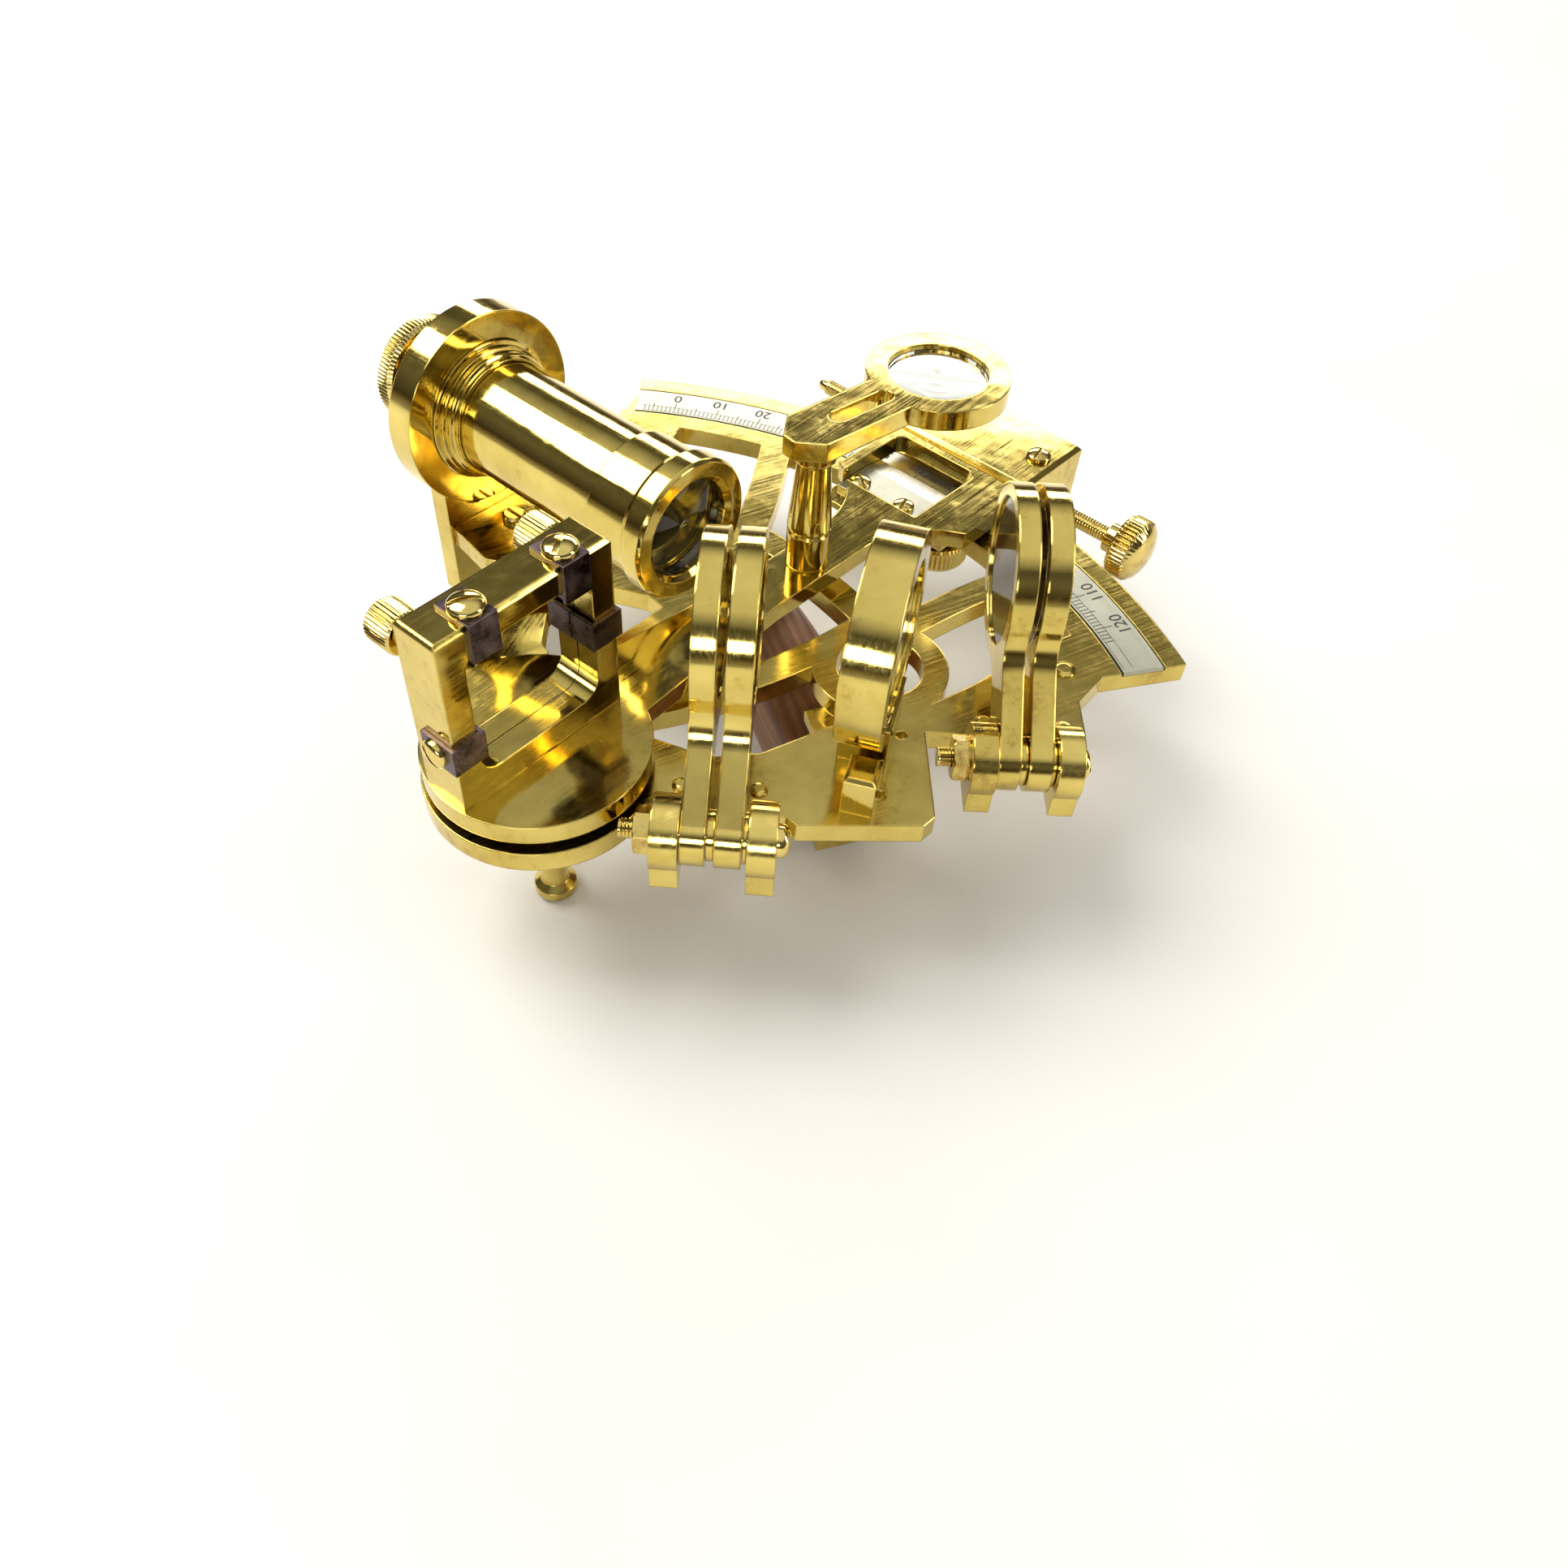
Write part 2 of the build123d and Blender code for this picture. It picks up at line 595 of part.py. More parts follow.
with BuildPart() as mirror_housing:
    block(MIRROR, LEFT_SIDE, RIGHT_SIDE, MIRROR_Y0, MIRROR_Y1, MIRROR_H)
    chamfer(mirror_housing.edges().group_by(Axis.Z)[-1], 0.5)
    with BuildSketch(shifted(FACE, z=-RECESS)):
        RectangleRounded(OPENING, OPENING, 3.2)
    extrude(amount=RECESS + 2, mode=Mode.SUBTRACT)
    block(MIRROR, -10, 8, MIRROR_Y1 - 1, 9.6, 1.8)
    for side in (-12, 12):
        disc(shifted(BACK, x=side, z=-5), 0.95, 8, Mode.SUBTRACT)

with BuildPart() as housing_screws:
    for x in (-7.5, 5.5):
        rivet(shifted(MIRROR, x=x, y=7.2, z=1.8), 1.6, 0.9)

with BuildPart() as index_mirror:
    with BuildSketch(shifted(FACE, z=-RECESS)):
        RectangleRounded(OPENING - 0.2, OPENING - 0.2, 3.1)
    extrude(amount=2.5)

FRONT = MIRROR_Y0 - CLIP_T

with BuildPart() as mirror_clips:
    for x in TOP_CLIPS:
        spot = shifted(MIRROR, x=x, z=TONGUE_Z)
        block(shifted(MIRROR, x=x, z=MIRROR_H), -CLIP_W / 2, CLIP_W / 2, FRONT, 2.6, CLIP_T)
        block(spot, -CLIP_W / 2, CLIP_W / 2, FRONT, MIRROR_Y0, MIRROR_H - TONGUE_Z)
        block(spot, -1.7, 1.7, FRONT, 0.7, CLIP_T)
    for x, toward, low in ((LEFT_SIDE, 1, 7.6), (RIGHT_SIDE, -1, 12.6)):
        spot = shifted(MIRROR, z=low)
        outer, tongue = sorted((x - toward * CLIP_T, x)), x + toward * 4.8
        block(spot, *outer, FRONT, 2.6, CLIP_W)
        block(spot, *sorted((x - toward * CLIP_T, tongue)), FRONT, MIRROR_Y0, CLIP_W)
        block(spot, *sorted((tongue - toward * CLIP_T, tongue)), FRONT, 0.7, CLIP_W)

with BuildPart() as mirror_clip_screws:
    for x in TOP_CLIPS:
        slotted(shifted(MIRROR, x=x, y=-0.6, z=MIRROR_H + CLIP_T), 2.4, 1.4)
    for x, toward, low in ((LEFT_SIDE, -1, 7.6), (RIGHT_SIDE, 1, 12.6)):
        spot = MIRROR.from_local_coords(Vector(x + toward * CLIP_T, 0, low + CLIP_W / 2))
        slotted(Plane(origin=spot, x_dir=(0, 0, 1), z_dir=MIRROR.x_dir * toward), 2.1, 1.3)

KNOB_PROFILE = [
    (0, -4), (0.9, -4), (0.9, 0.2), (1.8, 0.2), (1.8, 1.0), (2.9, 1.0), (3.2, 1.4), (3.2, 5.6),
    (2.8, 6.0), (0, 6.0),
]

with BuildPart() as mirror_knob_left:
    turn(shifted(BACK, x=12), KNOB_PROFILE)

with BuildPart() as mirror_knob_right:
    turn(shifted(BACK, x=-12), KNOB_PROFILE)

# ---- magnifier ----
POST = shifted(ARM, x=POST_U, z=ARM_TOP)
POST_H = LENS_Z - ARM_TOP
LENS_ARM_T = 3.3
PIN_R = 1.6
PIN_H = 2.0
LENS = upright(POST.origin.X, POST.origin.Y, LENS_Z, LENS_ANGLE)

with BuildPart() as magnifier_post:
    turn(POST, [
        (0, 0), (POST_R, 0), (POST_R, 6.4), (3.2, 6.6), (3.2, 6.9), (POST_R, 7.1), (POST_R, 7.6),
        (2.6, POST_H - 2.4), (3.4, POST_H - 2.1), (3.4, POST_H - 0.1), (PIN_R, POST_H - 0.1),
        (PIN_R, POST_H + PIN_H), (0, POST_H + PIN_H),
    ])

with BuildPart() as magnifier_arm:
    with BuildSketch(LENS):
        with BuildLine():
            Polyline((-5.6, -1.2), (-2.0, -4.6), (LENS_REACH - 5, -4.6), (LENS_REACH - 5, 4.6),
                     (-2.0, 4.6), (-5.6, 1.2), close=True)
        make_face()
        with Locations((LENS_REACH, 0)):
            Circle(LENS_R)
            Circle(8.0, mode=Mode.SUBTRACT)
        with Locations((8.9, 0)):
            SlotOverall(12.4, 2.9, mode=Mode.SUBTRACT)
    extrude(amount=LENS_ARM_T)
    disc(shifted(LENS, z=-1), PIN_R + RUNNING, PIN_H + 1.1, Mode.SUBTRACT)

with BuildPart() as magnifier_lens:
    turn(shifted(LENS, x=LENS_REACH), [(0, 0.4), (7.9, 0.9), (7.9, 2.4), (0, 2.9)])

PIECES = {
    "frame": frame, "scale_strip": scale_strip, "leg_left": leg_left, "leg_right": leg_right,
    "pivot_cup": pivot_cup, "handle": handle, "handle_brackets": handle_brackets,
    "handle_screws": handle_screws, "telescope_bracket": telescope_bracket,
    "bracket_screws": bracket_screws, "telescope_sleeve": telescope_sleeve,
    "telescope_tube": telescope_tube, "objective_cell": objective_cell,
    "objective_lens": objective_lens, "eyepiece_barrel": eyepiece_barrel,
    "draw_tube": draw_tube, "eyepiece_ring": eyepiece_ring, "eye_lens": eye_lens,
    "horizon_ring": horizon_ring, "horizon_glass": horizon_glass,
    "horizon_block": horizon_block, "index_shade_bracket": index_shade_bracket,
    "index_shade_frame_1": index_shade_frame_1, "index_shade_frame_2": index_shade_frame_2,
    "index_shade_glass_1": index_shade_glass_1, "index_shade_glass_2": index_shade_glass_2,
    "index_shade_bolt": index_shade_bolt, "index_shade_nut": index_shade_nut,
    "index_shade_spacers": index_shade_spacers,
    "horizon_shade_bracket": horizon_shade_bracket,
    "horizon_shade_frame_1": horizon_shade_frame_1,
    "horizon_shade_frame_2": horizon_shade_frame_2,
    "horizon_shade_glass_1": horizon_shade_glass_1,
    "horizon_shade_glass_2": horizon_shade_glass_2, "horizon_shade_bolt": horizon_shade_bolt,
    "horizon_shade_nut": horizon_shade_nut, "horizon_shade_spacers": horizon_shade_spacers,
    "deck_rivets": deck_rivets, "index_arm": index_arm, "vernier_plate": vernier_plate,
    "arm_screws": arm_screws, "tangent_box": tangent_box,
    "clamp_block": clamp_block, "clamp_screw": clamp_screw, "tangent_screw": tangent_screw,
    "pivot_axle": pivot_axle, "pivot_washer": pivot_washer, "pivot_nut": pivot_nut,
    "mirror_housing": mirror_housing, "housing_screws": housing_screws,
    "index_mirror": index_mirror, "mirror_clips": mirror_clips,
    "mirror_clip_screws": mirror_clip_screws, "mirror_knob_left": mirror_knob_left,
    "mirror_knob_right": mirror_knob_right, "magnifier_post": magnifier_post,
    "magnifier_arm": magnifier_arm, "magnifier_lens": magnifier_lens,
}

for name, piece in PIECES.items():
    piece.part.label = name
    export_step(piece.part, f"parts/{name}.step")
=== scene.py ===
"""Looks of a polished brass nautical sextant lying on its three feet."""

import json
import math

import bmesh
import bpy
from mathutils import Matrix, Vector


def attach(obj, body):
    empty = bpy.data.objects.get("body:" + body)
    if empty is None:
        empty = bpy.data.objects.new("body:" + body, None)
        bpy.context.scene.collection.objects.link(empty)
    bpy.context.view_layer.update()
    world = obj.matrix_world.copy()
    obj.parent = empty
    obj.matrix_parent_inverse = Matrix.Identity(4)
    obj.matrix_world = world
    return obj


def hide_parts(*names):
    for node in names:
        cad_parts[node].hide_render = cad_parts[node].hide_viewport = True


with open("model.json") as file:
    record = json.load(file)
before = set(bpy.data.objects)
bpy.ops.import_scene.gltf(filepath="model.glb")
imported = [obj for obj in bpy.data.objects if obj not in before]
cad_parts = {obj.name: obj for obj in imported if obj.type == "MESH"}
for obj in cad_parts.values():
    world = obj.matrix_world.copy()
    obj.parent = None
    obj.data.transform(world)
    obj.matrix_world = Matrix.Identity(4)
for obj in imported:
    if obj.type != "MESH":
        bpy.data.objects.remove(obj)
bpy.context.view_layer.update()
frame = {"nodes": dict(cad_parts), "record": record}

MM = 0.001
UP = Vector((0, 0, 1))
JOINTS = {joint["name"]: joint for joint in frame["record"]["behaviour"]["joints"]}

# ---- places, in millimetres, as the CAD has them ----
DECK_Z = 29.0
ARM_TOP = 34.1
ARM_ANGLE = 45.5
MIRROR_ANGLE = 47.7
SCOPE_ANGLE = 136.8
SCOPE_FRONT = (21.3, 29.2, 48.0)
HORIZON = (47.6, 6.6, 48.0)
SCALE_R_IN = 91.2
SCALE_ZERO = 79.2
SCALE_TOP = 29.05
GROOVE_GAPS = ((90.83, 91.12), (98.08, 98.37))
LIMB_ENDS = (12.6, 83.8)
LIMB_BOTTOM = 25.5
VERNIER_TOP = ARM_TOP - 2.25
VERNIER_BEVEL = 86.4
VERNIER_MIDDLE = 3.4
CLAMP_U = 95.0
TANGENT_U = 106.0
TANGENT_Z = DECK_Z - 1.0
POST_U = 56.5
POST_TOP = 21.8
CLIP_TOP = 29.5
KNOB_Z = 24.4

# ---- sizes of what is drawn, in millimetres ----
THREAD_R = 1.48
THREAD_DEPTH = 0.2
ARC_STEPS = 140
LINE_HALF = 0.04
NUMERAL_SIZE = 3.1
FLOOR_Z = -0.3
FLOOR_HALF = 6000
TARNISH = (0.30, 0.15, 0.045)
BOX_FACES = [(0, 3, 2, 1), (4, 5, 6, 7), (0, 1, 5, 4), (1, 2, 6, 5), (2, 3, 7, 6), (3, 0, 4, 7)]


# ---- directions and placements ----
def heading(angle):
    """Unit vector in the plan at an angle from +X."""
    turn = math.radians(angle)
    return Vector((math.cos(turn), math.sin(turn), 0))


def seat(origin, axis, across=None):
    """Placement whose local z runs along an axis from an origin in millimetres."""
    z = Vector(axis).normalized()
    guide = Vector(across) if across is not None else (UP if abs(z.z) < 0.9 else Vector((1, 0, 0)))
    x = (guide - z * guide.dot(z)).normalized()
    y = z.cross(x)
    place = Matrix((x, y, z)).transposed().to_4x4()
    place.translation = Vector(origin) * MM
    return place


def arm_point(u, v, z):
    """Point in the index arm's own directions: along it, across it, up."""
    spot = heading(ARM_ANGLE) * u + heading(ARM_ANGLE + 90) * v
    return (spot.x, spot.y, z)


def mirror_point(x, y, z):
    """Point in the index mirror's directions: along it, behind it, up from the arm."""
    spot = heading(MIRROR_ANGLE) * x + heading(MIRROR_ANGLE + 90) * y
    return (spot.x, spot.y, ARM_TOP + z)


# ---- materials ----
class Nodes:
    """Short way to wire a procedural material in millimetre coordinates."""

    def __init__(self, name):
        self.material = bpy.data.materials.new(name)
        self.material.use_nodes = True
        self.tree = self.material.node_tree
        self.shader = self.tree.nodes["Principled BSDF"]
        coords = self.add("ShaderNodeTexCoord")
        self.mm = self.vector("SCALE", coords.outputs["Object"], 1000.0)

    def add(self, kind, **values):
        node = self.tree.nodes.new(kind)
        for key, value in values.items():
            setattr(node, key, value)
        return node

    def link(self, source, target):
        self.tree.links.new(source, target)

    def vector(self, operation, source, value):
        node = self.add("ShaderNodeVectorMath", operation=operation)
        self.link(source, node.inputs[0])
        if operation == "SCALE":
            node.inputs["Scale"].default_value = value
        else:
            node.inputs[1].default_value = value
        return node.outputs["Vector"]

    def aligned(self, axis):
        """Coordinates whose x runs along an axis."""
        axis = Vector(axis).normalized()
        node = self.add("ShaderNodeMapping")
        turn = axis.rotation_difference(Vector((1, 0, 0))).to_euler()
        node.inputs["Rotation"].default_value = turn
        self.link(self.mm, node.inputs["Vector"])
        return node.outputs["Vector"]

    def noise(self, source, scale, detail=4.0, rough=0.55, stretch=None):
        if stretch is not None:
            source = self.vector("MULTIPLY", source, stretch)
        node = self.add("ShaderNodeTexNoise")
        node.inputs["Scale"].default_value = scale
        node.inputs["Detail"].default_value = detail
        node.inputs["Roughness"].default_value = rough
        self.link(source, node.inputs["Vector"])
        return node.outputs["Fac"]

    def spread(self, source, low, high, start=0.35, end=0.65):
        """A texture's middle range mapped onto new values."""
        node = self.add("ShaderNodeMapRange")
        node.inputs["From Min"].default_value = start
        node.inputs["From Max"].default_value = end
        node.inputs["To Min"].default_value = low
        node.inputs["To Max"].default_value = high
        self.link(source, node.inputs["Value"])
        return node.outputs["Result"]

    def mix(self, factor, first, second):
        """Blend of two colours, each a colour or a node's output."""
        node = self.add("ShaderNodeMix", data_type="RGBA")
        for value, socket in ((first, node.inputs[6]), (second, node.inputs[7])):
            if isinstance(value, tuple):
                socket.default_value = (*value, 1)
            else:
                self.link(value, socket)
        self.link(factor, node.inputs[0])
        return node.outputs[2]

    def maths(self, operation, first, second):
        node = self.add("ShaderNodeMath", operation=operation)
        for value, socket in ((first, node.inputs[0]), (second, node.inputs[1])):
            if isinstance(value, float):
                socket.default_value = value
            else:
                self.link(value, socket)
        return node.outputs["Value"]

    def relief(self, heights, edge=0.3):
        """Bump from (texture, depth in mm) pairs over softly rounded edges."""
        bevel = self.add("ShaderNodeBevel", samples=6)
        bevel.inputs["Radius"].default_value = edge * MM
        normal = bevel.outputs["Normal"]
        for texture, depth in heights:
            bump = self.add("ShaderNodeBump")
            bump.inputs["Strength"].default_value = 1.0
            bump.inputs["Distance"].default_value = depth * MM
            self.link(texture, bump.inputs["Height"])
            self.link(normal, bump.inputs["Normal"])
            normal = bump.outputs["Normal"]
        self.link(normal, self.shader.inputs["Normal"])


def brass(name, grain_axis=(1, 0.3, 0), bright=(0.79, 0.63, 0.19), deep=(0.56, 0.42, 0.09),
          gloss=(0.05, 0.17), polish=0.0016, edge=0.3, stain=0.5):
    """Polished brass: buffing lines along one axis, faint waviness and brown tarnish."""
    n = Nodes(name)
    along = n.aligned(grain_axis)
    lines = n.noise(along, 1.0, 3.0, 0.6, stretch=(0.06, 3.2, 3.2))
    cloud = n.noise(n.mm, 0.07, 5.0, 0.6)
    spots = n.noise(n.mm, 0.45, 6.0, 0.7)
    tone = n.mix(n.spread(cloud, 0.0, 1.0, 0.3, 0.7), bright, deep)
    tarnish = n.spread(n.maths("MULTIPLY", cloud, spots), 0.0, stain, 0.29, 0.40)
    n.link(n.mix(tarnish, tone, TARNISH), n.shader.inputs["Base Color"])
    sheen = n.maths("ADD", n.spread(lines, gloss[0], gloss[1], 0.3, 0.7),
                    n.spread(spots, 0.0, 0.10, 0.5, 0.75))
    n.link(sheen, n.shader.inputs["Roughness"])
    n.shader.inputs["Metallic"].default_value = 1.0
    wave = n.noise(n.mm, 0.10, 2.0, 0.5)
    n.relief([(wave, 0.09), (lines, polish), (spots, 0.0012)], edge)
    return n.material


def silvered(name):
    """Silvered scale metal, finely brushed along the arc and a little worn."""
    n = Nodes(name)
    radius = n.add("ShaderNodeVectorMath", operation="LENGTH")
    flat = n.vector("MULTIPLY", n.mm, (1, 1, 0))
    n.link(flat, radius.inputs[0])
    rings = n.add("ShaderNodeCombineXYZ")
    n.link(radius.outputs["Value"], rings.inputs[0])
    brushed = n.noise(rings.outputs[0], 5.0, 4.0, 0.6)
    cloud = n.noise(n.mm, 0.12, 5.0, 0.6)
    tone = n.mix(n.spread(cloud, 0.0, 1.0, 0.3, 0.7), (0.52, 0.51, 0.41), (0.40, 0.39, 0.31))
    n.link(n.mix(n.spread(brushed, 0.0, 0.35), tone, (0.27, 0.26, 0.21)), n.shader.inputs["Base Color"])
    n.link(n.spread(brushed, 0.24, 0.42), n.shader.inputs["Roughness"])
    n.shader.inputs["Metallic"].default_value = 1.0
    n.relief([(brushed, 0.006), (cloud, 0.02)], 0.15)
    return n.material


def dark_steel(name):
    """Heat-darkened spring steel with a purple cast and bright worn spots."""
    n = Nodes(name)
    cloud = n.noise(n.mm, 0.35, 5.0, 0.65)
    fine = n.noise(n.mm, 2.4, 4.0, 0.6)
    tone = n.mix(n.spread(cloud, 0.0, 1.0), (0.055, 0.040, 0.048), (0.16, 0.12, 0.13))
    n.link(n.mix(n.spread(fine, 0.0, 0.8, 0.62, 0.75), tone, (0.40, 0.34, 0.30)),
           n.shader.inputs["Base Color"])
    n.link(n.spread(cloud, 0.22, 0.42), n.shader.inputs["Roughness"])
    n.shader.inputs["Metallic"].default_value = 1.0
    n.relief([(cloud, 0.05), (fine, 0.006)], 0.2)
    return n.material


def black_paint(name):
    """Flat black lining with faint dust, also the painted shade of the disc inside the telescope."""
    n = Nodes(name)
    fine = n.noise(n.mm, 1.6, 5.0, 0.6)
    n.link(n.mix(n.spread(fine, 0.0, 0.6), (0.006, 0.005, 0.004), (0.022, 0.018, 0.014)),
           n.shader.inputs["Base Color"])
    n.link(n.spread(fine, 0.7, 0.9), n.shader.inputs["Roughness"])
    n.shader.inputs["Specular IOR Level"].default_value = 0.15
    n.relief([(fine, 0.02)], 0.1)
    return n.material


def ink(name):
    """Black filling of the engraved lines and numerals, and of the dark lines in the scale strip's
    gaps.
    """
    n = Nodes(name)
    fine = n.noise(n.mm, 3.0, 4.0, 0.6)
    n.link(n.mix(n.spread(fine, 0.0, 1.0), (0.020, 0.018, 0.016), (0.075, 0.066, 0.055)),
           n.shader.inputs["Base Color"])
    n.link(n.spread(fine, 0.5, 0.8), n.shader.inputs["Roughness"])
    return n.material


def clear_glass(name, tint=(0.96, 0.98, 0.97)):
    """Clear lens glass with faint smears."""
    n = Nodes(name)
    smear = n.noise(n.mm, 0.5, 5.0, 0.65)
    n.link(n.mix(n.spread(smear, 0.0, 1.0), tint, tuple(0.985 * c for c in tint)),
           n.shader.inputs["Base Color"])
    n.link(n.spread(smear, 0.0, 0.035, 0.55, 0.8), n.shader.inputs["Roughness"])
    n.shader.inputs["Transmission Weight"].default_value = 1.0
    n.shader.inputs["IOR"].default_value = 1.48
    return n.material


def shade_glass(name):
    """Deep brown filter glass."""
    n = Nodes(name)
    smear = n.noise(n.mm, 0.3, 5.0, 0.65)
    n.link(n.mix(n.spread(smear, 0.0, 1.0), (0.075, 0.038, 0.016), (0.045, 0.022, 0.010)),
           n.shader.inputs["Base Color"])
    n.link(n.spread(smear, 0.01, 0.07, 0.45, 0.8), n.shader.inputs["Roughness"])
    n.shader.inputs["Transmission Weight"].default_value = 0.75
    n.shader.inputs["IOR"].default_value = 1.5
    n.relief([(smear, 0.02)], 0.2)
    return n.material


def mirror_silver(name):
    """Silvered glass with dull specks."""
    n = Nodes(name)
    smear = n.noise(n.mm, 0.4, 6.0, 0.7)
    specks = n.noise(n.mm, 1.8, 4.0, 0.6)
    n.link(n.mix(n.spread(specks, 0.0, 0.7, 0.64, 0.75), (0.88, 0.89, 0.87), (0.30, 0.28, 0.25)),
           n.shader.inputs["Base Color"])
    n.link(n.spread(smear, 0.012, 0.06, 0.45, 0.75), n.shader.inputs["Roughness"])
    n.shader.inputs["Metallic"].default_value = 1.0
    n.shader.inputs["Coat Weight"].default_value = 0.5
    return n.material


def horizon_silver(name):
    """Horizon glass: silvered on the half by the frame, clear above."""
    n = Nodes(name)
    split = n.add("ShaderNodeSeparateXYZ")
    n.link(n.mm, split.inputs[0])
    lower = n.spread(split.outputs["Z"], 1.0, 0.0, HORIZON[2] - 0.05, HORIZON[2] + 0.05)
    smear = n.noise(n.mm, 0.4, 6.0, 0.7)
    n.link(n.mix(n.spread(smear, 0.0, 1.0), (0.93, 0.95, 0.94), (0.86, 0.88, 0.86)),
           n.shader.inputs["Base Color"])
    n.link(lower, n.shader.inputs["Metallic"])
    n.link(n.maths("SUBTRACT", 1.0, lower), n.shader.inputs["Transmission Weight"])
    n.link(n.spread(smear, 0.01, 0.05, 0.45, 0.8), n.shader.inputs["Roughness"])
    n.shader.inputs["IOR"].default_value = 1.48
    return n.material


def handle_wood(name):
    """Oiled dark hardwood with long grain and open pores."""
    n = Nodes(name)
    along = n.aligned(heading(105.4))
    grain = n.noise(along, 1.0, 5.0, 0.6, stretch=(0.05, 0.6, 0.6))
    wave = n.add("ShaderNodeTexWave", bands_direction="Y")
    wave.inputs["Scale"].default_value = 0.16
    wave.inputs["Distortion"].default_value = 5.0
    wave.inputs["Detail"].default_value = 3.0
    n.link(n.vector("MULTIPLY", along, (0.12, 1, 1)), wave.inputs["Vector"])
    pores = n.noise(along, 1.0, 3.0, 0.5, stretch=(0.25, 5.0, 5.0))
    tone = n.mix(n.spread(wave.outputs["Fac"], 0.0, 1.0, 0.1, 0.9), (0.18, 0.070, 0.025),
                 (0.28, 0.115, 0.042))
    tone = n.mix(n.spread(grain, 0.0, 0.6), tone, (0.10, 0.035, 0.014))
    n.link(n.mix(n.spread(pores, 0.0, 0.8, 0.60, 0.72), tone, (0.03, 0.012, 0.006)),
           n.shader.inputs["Base Color"])
    n.link(n.spread(grain, 0.38, 0.55), n.shader.inputs["Roughness"])
    n.shader.inputs["Coat Weight"].default_value = 0.1
    n.relief([(grain, 0.05), (pores, 0.03)], 0.3)
    return n.material


def floor_paper(name):
    """Pale matt studio floor."""
    n = Nodes(name)
    cloud = n.noise(n.mm, 0.01, 4.0, 0.5)
    n.link(n.mix(n.spread(cloud, 0.0, 1.0), (0.68, 0.675, 0.66), (0.65, 0.645, 0.63)),
           n.shader.inputs["Base Color"])
    n.link(n.spread(cloud, 0.6, 0.75), n.shader.inputs["Roughness"])
    return n.material


CAST_BRASS = brass("cast_brass", (1, 0.5, 0), gloss=(0.08, 0.22), polish=0.003, edge=0.35)
ARM_BRASS = brass("arm_brass", heading(ARM_ANGLE), gloss=(0.05, 0.16), edge=0.3)
PLATE_BRASS = brass("plate_brass", heading(MIRROR_ANGLE), gloss=(0.05, 0.15), edge=0.4)
UPRIGHT_BRASS = brass("upright_brass", UP, gloss=(0.04, 0.14), edge=0.4)
TUBE_BRASS = brass("tube_brass", heading(SCOPE_ANGLE), gloss=(0.03, 0.12), polish=0.001, stain=0.35)
SHADE_BRASS = brass("shade_brass", (0.0, 1, 0.9), gloss=(0.04, 0.13), edge=0.45)
SCREW_BRASS = brass("screw_brass", (1, -1, 0), (0.82, 0.66, 0.24), (0.60, 0.45, 0.12),
                    gloss=(0.05, 0.15), edge=0.12, stain=0.7)
SILVER = silvered("silvered_scale")
STEEL = dark_steel("dark_steel")
BLACK = black_paint("black_lining_and_painted_shade")
INK = ink("engraving_ink")
GLASS = clear_glass("clear_glass")
SHADE = shade_glass("dark_glass")
MIRROR = mirror_silver("mirror_glass")
HALF_MIRROR = horizon_silver("horizon_half_silvered")
WOOD = handle_wood("handle_wood")

CAD_MATERIALS = {
    CAST_BRASS: ("frame", "leg_left", "leg_right", "pivot_cup", "handle_brackets",
                 "index_shade_bracket", "horizon_shade_bracket", "clamp_block", "pivot_axle",
                 "pivot_washer", "pivot_nut", "deck_rivets"),
    ARM_BRASS: ("index_arm", "tangent_box"),
    PLATE_BRASS: ("mirror_housing", "magnifier_arm"),
    UPRIGHT_BRASS: ("horizon_ring", "horizon_block"),
    TUBE_BRASS: ("telescope_tube", "telescope_bracket", "telescope_sleeve", "objective_cell",
                 "eyepiece_barrel", "draw_tube"),
    SHADE_BRASS: ("index_shade_frame_1", "index_shade_frame_2", "horizon_shade_frame_1",
                  "horizon_shade_frame_2", "index_shade_spacers", "horizon_shade_spacers"),
    SCREW_BRASS: ("housing_screws", "bracket_screws", "handle_screws"),
    SILVER: ("scale_strip", "vernier_plate"),
    STEEL: ("mirror_clips",),
    GLASS: ("objective_lens", "eye_lens", "magnifier_lens"),
    SHADE: ("index_shade_glass_1", "index_shade_glass_2", "horizon_shade_glass_1",
            "horizon_shade_glass_2"),
    MIRROR: ("index_mirror",),
    HALF_MIRROR: ("horizon_glass",),
    WOOD: ("handle",),
}
for material, names in CAD_MATERIALS.items():
    for name in names:
        for slot in frame["nodes"][name].material_slots:
            slot.material = material


# ---- meshes ----
def weld(mesh, distance):
    """Join a mesh's doubled vertices and face it outwards."""
    bm = bmesh.new()
    bm.from_mesh(mesh)
    bmesh.ops.remove_doubles(bm, verts=bm.verts, dist=distance)
    bmesh.ops.recalc_face_normals(bm, faces=bm.faces)
    bm.to_mesh(mesh)
    bm.free()


def piece(name, mesh_data, place, material, body):
    """New object from vertices in millimetres and faces, riding on a body."""
    verts, faces = mesh_data
    mesh = bpy.data.meshes.new(name)
    mesh.from_pydata([Vector(v) * MM for v in verts], [], faces)
    weld(mesh, 1e-7)
    mesh.materials.append(material)
    mesh.transform(place)
    mesh.shade_smooth()
    mesh.set_sharp_from_angle(angle=math.radians(32))
    obj = bpy.data.objects.new(name, mesh)
    bpy.context.scene.collection.objects.link(obj)
    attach(obj, body)
    return obj


